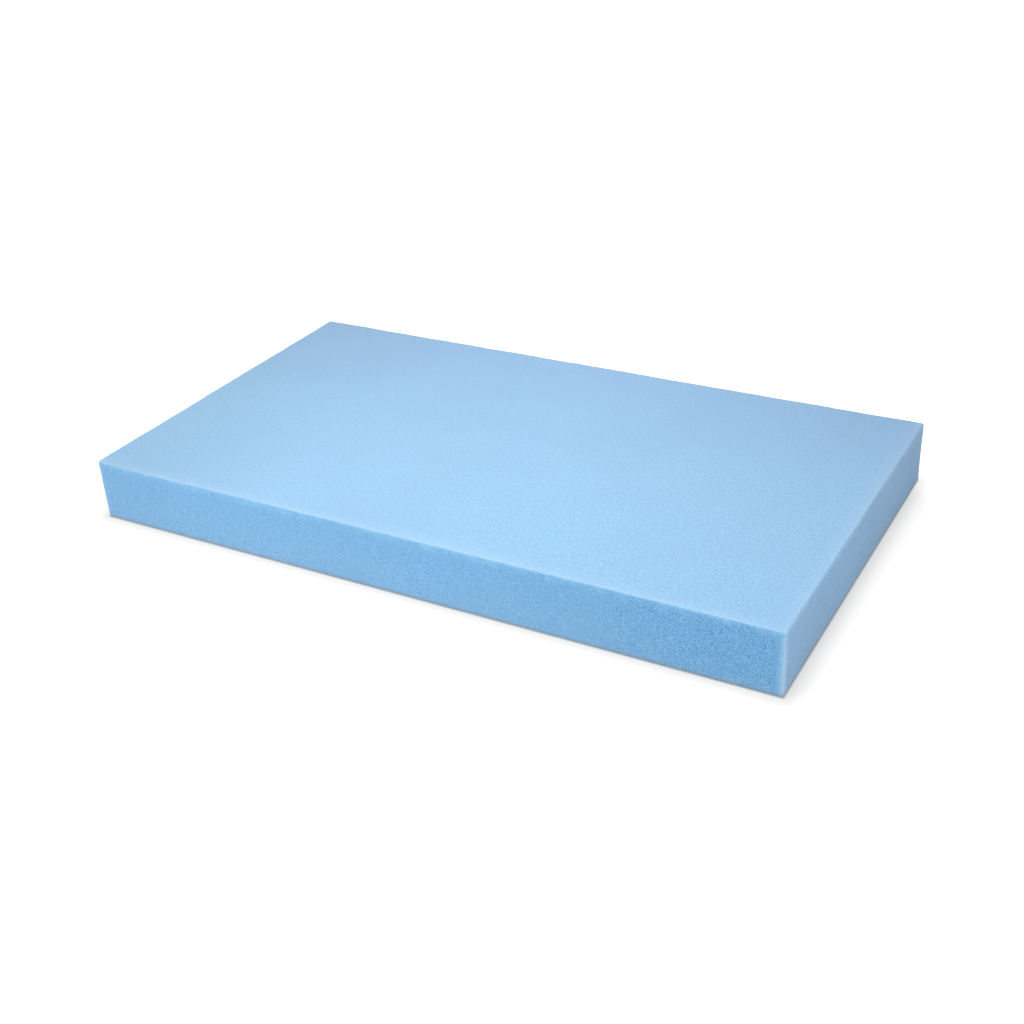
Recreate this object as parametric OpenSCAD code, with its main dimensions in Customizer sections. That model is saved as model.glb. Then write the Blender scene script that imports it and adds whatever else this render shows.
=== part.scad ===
// Foam block: one solid slab of flexible open-cell foam, cut square, lying on its largest face.
// The origin is at the centre of the face that it lies on, with +X along the length,
// +Y along the width and +Z up through the thickness.

/* [Slab] */
// Length of the slab, along X
slab_length = 340; // [100:1:700]
// Width of the slab, along Y
slab_width = 190; // [60:1:500]
// Thickness of the slab, along Z
slab_thickness = 30; // [8:0.5:100]

/* [Edges] */
// Radius of the softened edges that run round the top and the bottom face
edge_radius = 0.8; // [0.3:0.05:1.1]
// Radius of the four upright corners, seen from above
corner_radius = 1.2; // [1:0.1:10]

/* [Look] */
// Colour of the foam
foam_colour = "#9ccbee"; // ["#9ccbee":sky blue, "#f2ead0":cream, "#8d8f94":grey]

/* [Hidden] */

// Facets of a full turn in the preview
smoothness = 64;

// Lengths of the straight stretches between the upright corners
straight_length = slab_length - 2 * corner_radius;
straight_width = slab_width - 2 * corner_radius;

// A section through the whole slab, standing on Y = 0 and centred on X = 0, with its four edges
// softened.
module whole_section(section_width) {
    edge_offset = section_width / 2 - edge_radius;
    translate([-edge_offset, 0])
        square([2 * edge_offset, slab_thickness]);
    translate([-section_width / 2, edge_radius])
        square([section_width, slab_thickness - 2 * edge_radius]);
    for (side = [-1, 1], height = [edge_radius, slab_thickness - edge_radius])
        translate([side * edge_offset, height])
            circle(r = edge_radius, $fn = smoothness);
}

// The half of the section that turns about an upright corner's own axis.
module corner_section() {
    intersection() {
        whole_section(2 * corner_radius);
        square([corner_radius, slab_thickness]);
    }
}

// One upright corner, a quarter turn that starts on +X.
module upright_corner() {
    rotate_extrude(angle = 90, $fn = smoothness)
        corner_section();
}

// The stretch that reaches both long sides, between the upright corners.
module stretch_along_length() {
    rotate([90, 0, 90])
        linear_extrude(height = straight_length, center = true)
            whole_section(slab_width);
}

// The stretch that reaches both short sides, between the upright corners.
module stretch_along_width() {
    rotate([90, 0, 0])
        linear_extrude(height = straight_width, center = true)
            whole_section(slab_length);
}

module foam_block() {
    corner_turns = [[1, 1, 0], [-1, 1, 90], [-1, -1, 180], [1, -1, 270]];
    color(foam_colour)
        union() {
            stretch_along_length();
            stretch_along_width();
            for (corner = corner_turns)
                translate([corner.x * straight_length / 2, corner.y * straight_width / 2, 0])
                    rotate([0, 0, corner.z])
                        upright_corner();
        }
}

foam_block();
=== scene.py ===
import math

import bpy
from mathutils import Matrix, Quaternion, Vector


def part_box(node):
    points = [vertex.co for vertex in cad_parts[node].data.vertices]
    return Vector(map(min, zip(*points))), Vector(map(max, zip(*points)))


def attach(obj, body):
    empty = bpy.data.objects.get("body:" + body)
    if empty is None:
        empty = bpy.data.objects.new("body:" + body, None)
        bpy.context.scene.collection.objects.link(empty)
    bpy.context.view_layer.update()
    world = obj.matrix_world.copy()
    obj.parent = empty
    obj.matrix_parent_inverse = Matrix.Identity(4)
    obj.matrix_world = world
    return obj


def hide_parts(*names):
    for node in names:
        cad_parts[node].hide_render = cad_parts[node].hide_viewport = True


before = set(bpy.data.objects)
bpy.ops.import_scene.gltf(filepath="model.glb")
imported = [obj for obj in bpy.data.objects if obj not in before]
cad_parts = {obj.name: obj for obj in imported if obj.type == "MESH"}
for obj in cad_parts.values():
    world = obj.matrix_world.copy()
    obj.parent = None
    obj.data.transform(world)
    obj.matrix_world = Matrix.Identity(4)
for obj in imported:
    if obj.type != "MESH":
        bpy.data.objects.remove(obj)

# The looks of a foam block: one slab of sky-blue, open-cell foam, cut square and lying on a white bench.
# All lengths are in metres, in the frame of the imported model: +X runs along the slab to its right end, +Y
# runs across it to its back and +Z is up.

MM = 0.001

# ------------------------------------------------------------------ the slab's sizes
BLOCK = "foam_block"
FOOT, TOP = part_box(BLOCK)
SIZE = TOP - FOOT
CENTRE = (FOOT + TOP) / 2
FOOT_CENTRE = Vector((CENTRE.x, CENTRE.y, FOOT.z))
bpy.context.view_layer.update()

CORNER_RADIUS = 1.2 * MM
EDGE_RADIUS = 0.8 * MM
ROUND_STEPS = 4

# The spacing of the mesh over the two large faces. The cut sides, where the cells show most, have a mesh
# twice as fine.
MESH_SPACING = 1.7 * MM

# Places closer together than this are the same place.
HAIR = 0.01 * MM

# The width of an ordinary foam cell.
CELL = 1.15 * MM

# ------------------------------------------------------------------ the colours
CUT_BLUE = (0.242, 0.535, 0.838, 1)
LEFT_CUT_BLUE = (0.236, 0.535, 0.862, 1)
# The end and split blues are painted paler and greyer than the cut blues: painted sheen.
END_BLUE_PAINTED_SHEEN = (0.268, 0.548, 0.885, 1)
SPLIT_BLUE_PAINTED_SHEEN = (0.299, 0.556, 0.820, 1)
# Painted light and shade: the large faces turn more violet and darker towards the back.
BACK_SPLIT_BLUE_PAINTED_LIGHT = (0.289, 0.520, 0.799, 1)
# A painted highlight along the front and right rims of the large faces.
RIM_HIGHLIGHT_BLUE = (0.470, 0.630, 0.820, 1)
# Pale edges: partly wear, partly a painted highlight.
WEAR_AND_HIGHLIGHT_BLUE = (0.405, 0.695, 0.930, 1)
# A painted highlight for the crests of the upright corners.
CREST_HIGHLIGHT_BLUE = (0.478, 0.725, 1.000, 1)
# Painted contact shade at the foot.
CONTACT_SHADE_GREY = (0.270, 0.270, 0.280, 1)
WHITE = (1, 1, 1, 1)

# How strongly red, green and blue change between a strut and an open cell.
CUT_GRAIN = (1.08, 0.61, 0.36, 1)
SPLIT_GRAIN = (0.9, 0.68, 0.5, 1)


# ------------------------------------------------------------------ shader expressions
class Value:
    """One output of a node. Arithmetic on it adds Math nodes to the same material."""

    def __init__(self, graph, socket):
        self.graph = graph
        self.socket = socket

    def pick(self, output):
        """Another output of the same node."""
        return Value(self.graph, self.socket.node.outputs[output])

    def __add__(self, other):
        return self.graph.math("ADD", self, other)

    def __radd__(self, other):
        return self.graph.math("ADD", other, self)

    def __sub__(self, other):
        return self.graph.math("SUBTRACT", self, other)

    def __rsub__(self, other):
        return self.graph.math("SUBTRACT", other, self)

    def __mul__(self, other):
        return self.graph.math("MULTIPLY", self, other)

    def __rmul__(self, other):
        return self.graph.math("MULTIPLY", other, self)

    def __abs__(self):
        return self.graph.math("ABSOLUTE", self)


class Graph:
    """The nodes of one material or world."""

    def __init__(self, tree):
        self.tree = tree
        self.tree.nodes.clear()

    def add(self, kind, settings=None, sockets=None, output=0):
        """Adds a node: its settings first, then the values or links of its sockets."""
        node = self.tree.nodes.new(kind)
        for name, value in (settings or {}).items():
            setattr(node, name, value)
        for name, value in (sockets or {}).items():
            if isinstance(value, Value):
                self.tree.links.new(value.socket, node.inputs[name])
            else:
                node.inputs[name].default_value = value
        if not node.outputs:
            return node
        return Value(self, node.outputs[output])

    def math(self, operation, *values):
        sockets = dict(enumerate(values))
        return self.add("ShaderNodeMath", {"operation": operation}, sockets)

    def vector(self, operation, *values, scale=None, output=0):
        sockets = dict(enumerate(values))
        if scale is not None:
            sockets["Scale"] = scale
        return self.add("ShaderNodeVectorMath", {"operation": operation}, sockets, output)

    def ramp(self, value, start, end, low=0.0, high=1.0, smooth=True):
        """Goes from low to high as the value goes from start to end, and stays there."""
        kind = "SMOOTHSTEP" if smooth else "LINEAR"
        limits = {"Value": value, "From Min": start, "From Max": end, "To Min": low, "To Max": high}
        return self.add("ShaderNodeMapRange", {"interpolation_type": kind}, limits)

    def noise(self, place, size, detail, output="Fac"):
        sockets = {"Vector": place, "Scale": 1 / size, "Detail": detail}
        return self.add("ShaderNodeTexNoise", None, sockets, output)

    def voronoi(self, feature, place, size, output):
        sockets = {"Vector": place, "Scale": 1 / size}
        return self.add("ShaderNodeTexVoronoi", {"feature": feature}, sockets, output)

    def blend_value(self, amount, first, second):
        """Mixes two numbers."""
        return self.add("ShaderNodeMix", {"data_type": "FLOAT"}, {"Factor": amount, 2: first, 3: second})

    def blend(self, amount, first, second):
        """Mixes two colours."""
        colours = {"Factor": amount, 6: first, 7: second}
        return self.add("ShaderNodeMix", {"data_type": "RGBA"}, colours, output=2)


def new_material(name):
    material = bpy.data.materials.new(name)
    material.use_nodes = True
    return material, Graph(material.node_tree)


# ------------------------------------------------------------------ modelling helpers
def deselect_objects():
    bpy.ops.object.select_all(action="DESELECT")


def select_edges(piece, wanted):
    """Selects, in edit mode, the edges for which wanted(first end, second end) is true."""
    bpy.ops.mesh.select_mode(type="EDGE")
    bpy.ops.mesh.select_all(action="DESELECT")
    bpy.ops.object.mode_set(mode="OBJECT")
    points = [vertex.co for vertex in piece.data.vertices]
    for edge in piece.data.edges:
        first, second = edge.vertices
        edge.select = wanted(points[first], points[second])
    bpy.ops.object.mode_set(mode="EDIT")


def is_parallel(first, second, axis):
    step = second - first
    return abs(step[axis]) > 0.999 * step.length


def depth_inside(point):
    """How far a point lies inside the slab's outline, seen from above."""
    reach = [abs(point[axis]) - (SIZE[axis] / 2 - CORNER_RADIUS) for axis in (0, 1)]
    if min(reach) > 0:
        return CORNER_RADIUS - math.hypot(*reach)
    return CORNER_RADIUS - max(reach)


# ------------------------------------------------------------------ the slab
def squared_slab():
    """A closed slab of the block's size, with its upright corners and its two rims rounded. It is left in
    edit mode."""
    deselect_objects()
    bpy.ops.mesh.primitive_cube_add(size=1, location=CENTRE, scale=SIZE)
    slab = bpy.context.active_object
    slab.name = "foam_slab"
    slab.data.name = "foam_slab"
    bpy.ops.object.transform_apply(location=True, rotation=True, scale=True)
    bpy.ops.object.mode_set(mode="EDIT")

    # Cuts a corner's radius in from each side give the corners a face of their own on the top and foot.
    for axis in (0, 1):
        normal = Vector((axis == 0, axis == 1, 0))
        for place in (FOOT[axis] + CORNER_RADIUS, TOP[axis] - CORNER_RADIUS):
            bpy.ops.mesh.select_all(action="SELECT")
            bpy.ops.mesh.bisect(plane_co=normal * place, plane_no=normal)

    def upright_corner(first, second):
        from_corner = math.hypot(*(abs(first[axis]) - SIZE[axis] / 2 for axis in (0, 1)))
        return is_parallel(first, second, 2) and from_corner < 10 * HAIR

    select_edges(slab, upright_corner)
    bpy.ops.mesh.bevel(offset=CORNER_RADIUS, segments=ROUND_STEPS, profile=0.5, affect="EDGES")
    bpy.ops.mesh.select_all(action="SELECT")
    bpy.ops.mesh.remove_doubles(threshold=HAIR)

    def on_rim(first, second):
        level = abs(first.z - second.z) < HAIR
        return level and max(depth_inside(first), depth_inside(second)) < HAIR

    select_edges(slab, on_rim)
    bpy.ops.mesh.bevel(offset=EDGE_RADIUS, segments=ROUND_STEPS, profile=0.5, affect="EDGES")
    return slab


def cut_across(slab, axis, spacing):
    """Cuts all long edges that run along an axis in half, and each half into lengths near the spacing."""
    def long_edge(first, second):
        return is_parallel(first, second, axis) and (second - first).length > 2 * CORNER_RADIUS

    half = SIZE[axis] / 2 - (CORNER_RADIUS if axis < 2 else EDGE_RADIUS)
    for parts in (2, round(half / spacing)):
        select_edges(slab, long_edge)
        bpy.ops.mesh.subdivide(number_cuts=parts - 1, smoothness=0)


def cut_sides_finer(slab):
    """Halves the mesh's spacing along the cut sides and the rounded rims."""
    def level_edge_outside(first, second):
        along = is_parallel(first, second, 0) or is_parallel(first, second, 1)
        whole = (second - first).length > 0.8 * MESH_SPACING
        outside = max(depth_inside(first), depth_inside(second)) < 1.05 * EDGE_RADIUS
        return along and whole and outside

    select_edges(slab, level_edge_outside)
    bpy.ops.mesh.subdivide(number_cuts=1, smoothness=0)


def mark_rims(slab, reach):
    """Makes a vertex group of the slab's edges, which fades out over the reach. It also fades out
    downwards, because the bench keeps the lower edges straight."""
    rims = slab.vertex_groups.new(name="rims")
    for vertex in slab.data.vertices:
        inward = sorted(SIZE[axis] / 2 - abs(vertex.co[axis] - CENTRE[axis]) for axis in range(3))
        from_edge = inward[1]
        height = (vertex.co.z - FOOT.z) / SIZE.z
        weight = (1 - from_edge / reach) * height
        if weight > 0:
            rims.add([vertex.index], weight, "REPLACE")
    return rims.name


def roughen(slab, name, kind, size, depth, where=""):
    """Pushes the surface in and out by a noise of the given size, over the given depth in all. It does so
    in the vertex group that is named, or everywhere."""
    texture = bpy.data.textures.new(name, kind)
    texture.noise_scale = size
    push = slab.modifiers.new(name, "DISPLACE")
    push.vertex_group = where
    push.texture = texture
    push.texture_coords = "LOCAL"
    push.strength = depth
    push.mid_level = 0.5
    bpy.ops.object.modifier_apply(modifier=push.name)


def cut_slab():
    """The whole slab, with a fine mesh that has the foam's unevenness in it."""
    slab = squared_slab()
    cut_across(slab, 0, MESH_SPACING)
    cut_across(slab, 1, MESH_SPACING)
    cut_across(slab, 2, MESH_SPACING / 2)
    cut_sides_finer(slab)
    bpy.ops.object.mode_set(mode="OBJECT")
    roughen(slab, "cutting waves", "CLOUDS", size=70 * MM, depth=0.2 * MM)
    rims = mark_rims(slab, reach=3 * MM)
    roughen(slab, "uneven rims", "CLOUDS", size=12 * MM, depth=0.5 * MM, where=rims)
    roughen(slab, "open cells", "VORONOI", size=1.6 * MM, depth=0.1 * MM)
    bpy.ops.object.shade_smooth()
    return slab


# ------------------------------------------------------------------ the foam
class Spot:
    """Where a point of the foam lies on the slab."""

    def __init__(self, graph):
        self.place = graph.add("ShaderNodeTexCoord", output="Object")
        from_centre = graph.vector("SUBTRACT", self.place, CENTRE)
        self.right = graph.add("ShaderNodeSeparateXYZ", None, {"Vector": from_centre})
        self.back = self.right.pick("Y")
        up = self.right.pick("Z")
        self.height = SIZE.z / 2 + up

        # How far the point lies in from each pair of opposite faces.
        self.from_ends = SIZE.x / 2 - abs(self.right)
        self.from_sides = SIZE.y / 2 - abs(self.back)
        self.from_faces = SIZE.z / 2 - abs(up)
        self.from_outline = graph.math("MINIMUM", self.from_ends, self.from_sides)

        # The two large faces are split on a band saw and are nearly smooth. The ends are cut off with a
        # hot wire, which closes some cells. The long sides are cut with a knife and are all open cells.
        self.split_face = graph.ramp(self.from_faces, 0.8 * MM, 0.25 * MM)
        self.end_face = graph.ramp(self.from_ends, 0.9 * MM, 0.3 * MM)


def edge_wear_and_painted_light(graph, spot):
    """Three amounts: for the edges painted pale, partly wear and partly a painted highlight; for the
    painted highlight on the crests of the upright corners; and for the painted contact shade along the
    lower edges."""
    # The struts stand loose along the edges and look paler, and the edges also carry a painted highlight,
    # most of all at the upright corners, and there more at the right end than at the left.
    near_end = graph.ramp(spot.from_ends, 4 * MM, 0, smooth=False)
    near_side = graph.ramp(spot.from_sides, 4 * MM, 0, smooth=False)
    near_corner = near_end * near_side
    on_corner = 0.45 * near_corner + 0.35 * near_corner * near_corner
    on_corner = on_corner * graph.ramp(spot.right, -0.5 * SIZE.x, 0.5 * SIZE.x, 0.5, 1)
    # A painted highlight along the crests of the upright corners.
    painted_crest_highlight = graph.ramp(spot.from_ends + spot.from_sides, 1.35 * MM, 0.7 * MM)

    # Along the rims the paleness ends unevenly on the cut sides, and it is weaker on the split faces and
    # towards the foot.
    uneven = graph.noise(spot.place, 6 * MM, detail=2.0)
    fringe = graph.ramp(uneven, 0.3, 0.7, -1.3 * MM, 1.3 * MM, smooth=False) * (1 - spot.split_face)
    near_face = graph.ramp(spot.from_faces + fringe, 5.3 * MM, 0, smooth=False)
    near_rim = graph.ramp(spot.from_outline, 2.5 * MM, 0, smooth=False)
    on_rim = near_face * near_rim
    strength = 0.52 - 0.27 * spot.split_face
    strength = strength * graph.ramp(spot.height, 0.25 * SIZE.z, 0.75 * SIZE.z, 0.35, 1)
    # Pale edges: wear together with a painted highlight.
    wear_and_highlight = graph.math("MAXIMUM", on_corner, strength * on_rim * on_rim)

    # A grey band along the foot is painted contact shade where the block meets the bench, stronger on the
    # ends than on the long sides.
    painted_contact_shade = graph.ramp(spot.height, 2.8 * MM, 0.2 * MM) * near_rim * (0.5 + 0.4 * spot.end_face)
    return wear_and_highlight, painted_crest_highlight, painted_contact_shade


def open_cells(graph, spot):
    """Two amounts: how hollow the foam is, from 0 on a strut to near 1 deep in an open cell, and a noise of
    wide, soft patches."""
    # The cells are pushed about a little, so that no two are alike.
    drift = graph.noise(spot.place, 3 * CELL, detail=2.0, output="Color")
    drift = graph.vector("SUBTRACT", drift, (0.5, 0.5, 0.5))
    drift = graph.vector("SCALE", drift, scale=0.8 * CELL)
    place = graph.vector("ADD", spot.place, drift)

    # The knife draws the cells out along the block, and more so towards the left end. The saw draws its
    # grain out across the block.
    parts = graph.add("ShaderNodeSeparateXYZ", None, {"Vector": place})
    drawn_cells = graph.add("ShaderNodeCombineXYZ", None, {
        "X": parts * (0.8 + (0.2 / SIZE.x) * parts),
        "Y": parts.pick("Y"),
        "Z": parts.pick("Z"),
    })
    drawn_grain = graph.vector("MULTIPLY", place, (1.1, 0.75, 1))

    walls = graph.voronoi("DISTANCE_TO_EDGE", drawn_cells, CELL, output="Distance")
    cells = graph.voronoi("F1", drawn_cells, CELL, output="Color")
    openness = graph.add("ShaderNodeSeparateColor", None, {"Color": cells})
    fine = graph.noise(drawn_cells, 0.65 * MM, detail=1.0)
    soft = graph.noise(drawn_grain, 1.15 * MM, detail=1.0)
    patches = graph.noise(place, 50 * MM, detail=3.0)

    # Some cells are open deeper than others. On the split faces the saw has smeared them into one soft,
    # wider grain.
    hollow = graph.ramp(walls, 0.03, 0.28) * (0.45 + 0.32 * openness * openness)
    hollow = 0.36 * hollow + 0.66 * graph.ramp(fine, 0.68, 0.32) - 0.04
    hollow = graph.blend_value(0.75 * spot.split_face, hollow, graph.ramp(soft, 0.7, 0.3))
    return hollow, patches


def grain_contrast(graph, spot, wear_and_highlight, patches):
    """How strongly the cells show."""
    # The knife opened the cells well at the right end of its cut and pressed them flatter further left. The
    # stronger grain there also darkens the right end, as part of a painted shade.
    contrast = graph.ramp(spot.right, 0, 0.45 * SIZE.x, 0.76, 1.06)
    contrast = graph.blend_value(spot.end_face, contrast, 0.5)
    # The grain of the split faces fades towards the back and the left.
    split = graph.ramp(spot.right, -0.1 * SIZE.x, 0.3 * SIZE.x, 0.225, 0.315)
    split = split * graph.ramp(spot.back, -0.3 * SIZE.y, 0.5 * SIZE.y, 1, 0.57)
    contrast = graph.blend_value(spot.split_face, contrast, split) * (1 - 0.6 * wear_and_highlight)
    return contrast * graph.ramp(patches, 0.35, 0.65, 0.8, 1.1)


def dye_and_painted_light(graph, spot):
    """The foam's blue before its grain and wear, with painted sheen on the ends and the large faces, and
    painted light and shade towards the back.
    """
    side = graph.ramp(spot.right, -0.5 * SIZE.x, -0.25 * SIZE.x)
    colour = graph.blend(side, LEFT_CUT_BLUE, CUT_BLUE)
    # The ends, and further down the large faces, are painted paler and greyer than the long sides: painted
    # sheen.
    colour = graph.blend(spot.end_face, colour, END_BLUE_PAINTED_SHEEN)
    # The split faces are painted a little more violet and darker towards the back: painted light and shade.
    towards_back = graph.ramp(spot.back, -0.1 * SIZE.y, 0.45 * SIZE.y)
    split_colour = graph.blend(towards_back, SPLIT_BLUE_PAINTED_SHEEN, BACK_SPLIT_BLUE_PAINTED_LIGHT)
    return graph.blend(spot.split_face, colour, split_colour)


def side_painted_light_tint(graph, spot):
    """The cut sides are painted a little warmer low down than high up: painted light from the bench below.
    """
    upper = graph.ramp(spot.height, 0.15 * SIZE.z, 0.85 * SIZE.z)
    tint = graph.blend(upper, (1.05, 1.01, 1, 1), (0.955, 1, 1.015, 1))
    end_tint = graph.blend(upper, (1, 0.965, 0.94, 1), (0.97, 0.985, 0.995, 1))
    tint = graph.blend(spot.end_face, tint, end_tint)
    return graph.blend(spot.split_face, tint, WHITE)


def dye_tone_and_painted_light(graph, spot, patches):
    """Soft patches in the dye's strength, with painted light and shade: a painted shade at the left end,
    and on the split faces painted light along the middle and at two of the corners, and painted shade at
    the other two."""
    shade = graph.ramp(patches, 0.3, 0.7, 0.975, 1.025)
    # A painted shade over the left end.
    shade = shade * graph.ramp(spot.right, -0.5 * SIZE.x, -0.2 * SIZE.x, 0.93, 1)
    # Painted light along the middle of the split faces and at two corners, painted shade at the other two.
    paler = graph.ramp(abs(spot.right), 0.5 * SIZE.x, 0.08 * SIZE.x, -0.005, 0.025)
    corner_to_corner = spot.right * spot.back * (-0.16 / (SIZE.x * SIZE.y))
    return shade * (1 + (paler + corner_to_corner) * spot.split_face)


def foam_material():
    material, graph = new_material("open-cell foam")
    spot = Spot(graph)
    wear_and_highlight, painted_crest_highlight, painted_contact_shade = edge_wear_and_painted_light(graph, spot)
    hollow, patches = open_cells(graph, spot)
    contrast = grain_contrast(graph, spot, wear_and_highlight, patches)

    # The struts are lighter than the dye's plain blue and the open cells darker. Towards the right end the
    # struts are made less light, a painted shade over that end.
    strut_lift_and_painted_shade = graph.ramp(spot.right, 0.1 * SIZE.x, 0.5 * SIZE.x, 0.16, 0.075)
    light = contrast * (strut_lift_and_painted_shade - 0.8 * hollow)
    grain = graph.blend(spot.split_face, CUT_GRAIN, SPLIT_GRAIN)
    gain = graph.vector("ADD", graph.vector("SCALE", grain, scale=light), (1, 1, 1))
    colour = graph.vector("MULTIPLY", dye_and_painted_light(graph, spot), gain)

    # The two large faces are painted a little paler and greyer along their rims in front and at the right
    # end: a painted highlight.
    from_right = SIZE.x / 2 - spot.right
    from_front = SIZE.y / 2 + spot.back
    painted_rim_highlight = graph.ramp(graph.math("MINIMUM", from_right, from_front), 8 * MM, 1 * MM) * spot.split_face
    colour = graph.blend(0.22 * painted_rim_highlight, colour, RIM_HIGHLIGHT_BLUE)
    # The edges painted paler: wear with a painted highlight.
    colour = graph.blend(wear_and_highlight, colour, WEAR_AND_HIGHLIGHT_BLUE)
    # A painted highlight on the crests of the upright corners.
    colour = graph.blend(0.7 * painted_crest_highlight, colour, CREST_HIGHLIGHT_BLUE)
    # Painted contact shade along the lower edges.
    colour = graph.blend(painted_contact_shade, colour, CONTACT_SHADE_GREY)
    # Painted light: the cut sides warmer low down than high up.
    colour = graph.vector("MULTIPLY", colour, side_painted_light_tint(graph, spot))
    # Soft patches of tone, with painted light and shade.
    colour = graph.vector("SCALE", colour, scale=dye_tone_and_painted_light(graph, spot, patches))

    height = contrast * (1 - hollow)
    relief = graph.add("ShaderNodeBump", None, {"Height": height, "Strength": 0.6, "Distance": 0.3 * MM})
    shader = graph.add("ShaderNodeBsdfPrincipled", {"subsurface_method": "RANDOM_WALK"}, {
        "Base Color": colour,
        "Roughness": graph.ramp(hollow, 0, 1, 0.75, 0.9),
        "Normal": relief,
        "IOR": 1.45,
        "Sheen Weight": 0.33,
        "Sheen Roughness": 0.5,
        "Subsurface Weight": 0.4,
        "Subsurface Radius": (0.8, 0.9, 1.0),
        "Subsurface Scale": 2 * MM,
    })
    graph.add("ShaderNodeOutputMaterial", None, {"Surface": shader})
    return material


# ------------------------------------------------------------------ the bench and the light
def white_where_seen(graph):
    """1 for what the camera sees directly, in a reflection or through glass, and 0 for light that falls."""
    path = graph.add("ShaderNodeLightPath", output="Is Camera Ray")
    seen = graph.math("MAXIMUM", path, path.pick("Is Glossy Ray"))
    return graph.math("MAXIMUM", seen, path.pick("Is Transmission Ray"))


def bench_glow(graph, place, distance):
    """How much the bench glows where it is seen. It is weakest at the block's foot, where the shadow and
    the weak glow leave a dark contact line, and it grows with the distance until the bench is plain white,
    which paints the fall of the block's shadow. Behind the block it is stronger, which paints part of the
    shadow out."""
    contact = graph.ramp(distance, 0, 0.4 * MM, 0.24, 0.54)
    beside = graph.ramp(distance, 1 * MM, 8 * MM, 0, 0.085)
    near = graph.ramp(distance, 2 * MM, 16 * MM, 0, 0.2, smooth=False)
    far = graph.ramp(distance, 10 * MM, 250 * MM, 0, 0.23, smooth=False)
    towards_back = graph.add("ShaderNodeSeparateXYZ", None, {"Vector": place}).pick("Y")
    # Painted light behind the block, which lightens its shadow there.
    behind = graph.ramp(towards_back, TOP.y - 22 * MM, TOP.y + 1 * MM, 0, 0.17)
    return contact + beside + near + far + behind


def white_bench():
    """A white bench top that keeps the block's shadow."""
    deselect_objects()
    bpy.ops.mesh.primitive_plane_add(size=60 * SIZE.x, location=FOOT_CENTRE)
    bench = bpy.context.active_object
    bench.name = "white_bench"
    bpy.ops.object.transform_apply(location=True, rotation=False, scale=False)
    material, graph = new_material("white bench")
    place = graph.add("ShaderNodeTexCoord", output="Object")
    from_block = graph.vector("ABSOLUTE", graph.vector("SUBTRACT", place, CENTRE))
    from_block = graph.vector("SUBTRACT", from_block, SIZE / 2)
    from_block = graph.vector("MAXIMUM", from_block, (0, 0, 0))
    distance = graph.vector("LENGTH", from_block, output="Value")

    # Where it is seen, the paint is darker and a little warm, and the glow makes up the rest.
    seen = white_where_seen(graph)
    white = graph.blend(seen, (0.8, 0.8, 0.8, 1), (0.43, 0.4, 0.37, 1))
    paint = graph.add("ShaderNodeBsdfDiffuse", None, {"Color": white})
    # The block throws a little of its blue on the bench close beside it.
    tint = graph.blend(graph.ramp(distance, 0.3 * MM, 2 * MM), (0.86, 0.95, 1, 1), WHITE)
    strength = bench_glow(graph, place, distance) * seen
    glow = graph.add("ShaderNodeEmission", None, {"Color": tint, "Strength": strength})
    both = graph.add("ShaderNodeAddShader", None, {0: paint, 1: glow})
    graph.add("ShaderNodeOutputMaterial", None, {"Surface": both})
    bench.data.materials.append(material)


def white_room(ambient):
    """A world that is plain white where it is seen, and lights the block at the ambient strength."""
    world = bpy.data.worlds.new("white room")
    bpy.context.scene.world = world
    world.use_nodes = True
    graph = Graph(world.node_tree)
    seen = white_where_seen(graph)
    strength = ambient + (1 - ambient) * seen
    light = graph.add("ShaderNodeBackground", None, {"Color": WHITE, "Strength": strength})
    graph.add("ShaderNodeOutputWorld", None, {"Surface": light})


def softbox(name, place, target, watts, width=0.5):
    """A square lamp that faces the target and isn't seen itself."""
    turn = (Vector(target) - Vector(place)).to_track_quat("-Z", "Y")
    bpy.ops.object.light_add(type="AREA", location=place, rotation=turn.to_euler())
    lamp = bpy.context.active_object
    lamp.name = name
    lamp.data.size = width
    lamp.data.energy = watts
    lamp.visible_camera = False


def studio_camera():
    """Looks down on the block's front right corner with a normal lens, held a little out of level."""
    azimuth = math.radians(30.57)
    elevation = math.radians(29.5)
    roll = math.radians(-3.26)
    back = Vector((math.sin(azimuth) * math.cos(elevation),
                   -math.cos(azimuth) * math.cos(elevation),
                   math.sin(elevation)))
    turn = (-back).to_track_quat("-Z", "Y") @ Quaternion((0, 0, 1), roll)

    # Where the camera stands from the centre of the foot: to its own right, upwards and backwards.
    framing = Vector((0.3 * MM, -6.7 * MM, 679.6 * MM))
    lens = bpy.data.cameras.new("studio camera")
    lens.sensor_width = 36
    lens.lens = 49.7
    lens.clip_start = 0.01
    lens.clip_end = 100
    camera = bpy.data.objects.new("studio camera", lens)
    bpy.context.scene.collection.objects.link(camera)
    camera.rotation_mode = "QUATERNION"
    camera.rotation_quaternion = turn
    camera.location = FOOT_CENTRE + turn @ framing
    bpy.context.scene.camera = camera


# ------------------------------------------------------------------ the scene
bpy.context.scene.view_settings.view_transform = "Standard"
studio_camera()
white_room(ambient=0.22)
white_bench()
softbox("overhead softbox", (-0.01, -0.08, 0.36), (-0.01, -0.08, 0), watts=1.31)
softbox("left softbox", (-0.466, -0.555, 0.338), FOOT_CENTRE, watts=2.01)
softbox("right softbox", (0.6, -0.346, 0.4), FOOT_CENTRE, watts=1.47)

slab = cut_slab()
slab.data.materials.append(foam_material())
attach(slab, "root")
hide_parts(BLOCK)
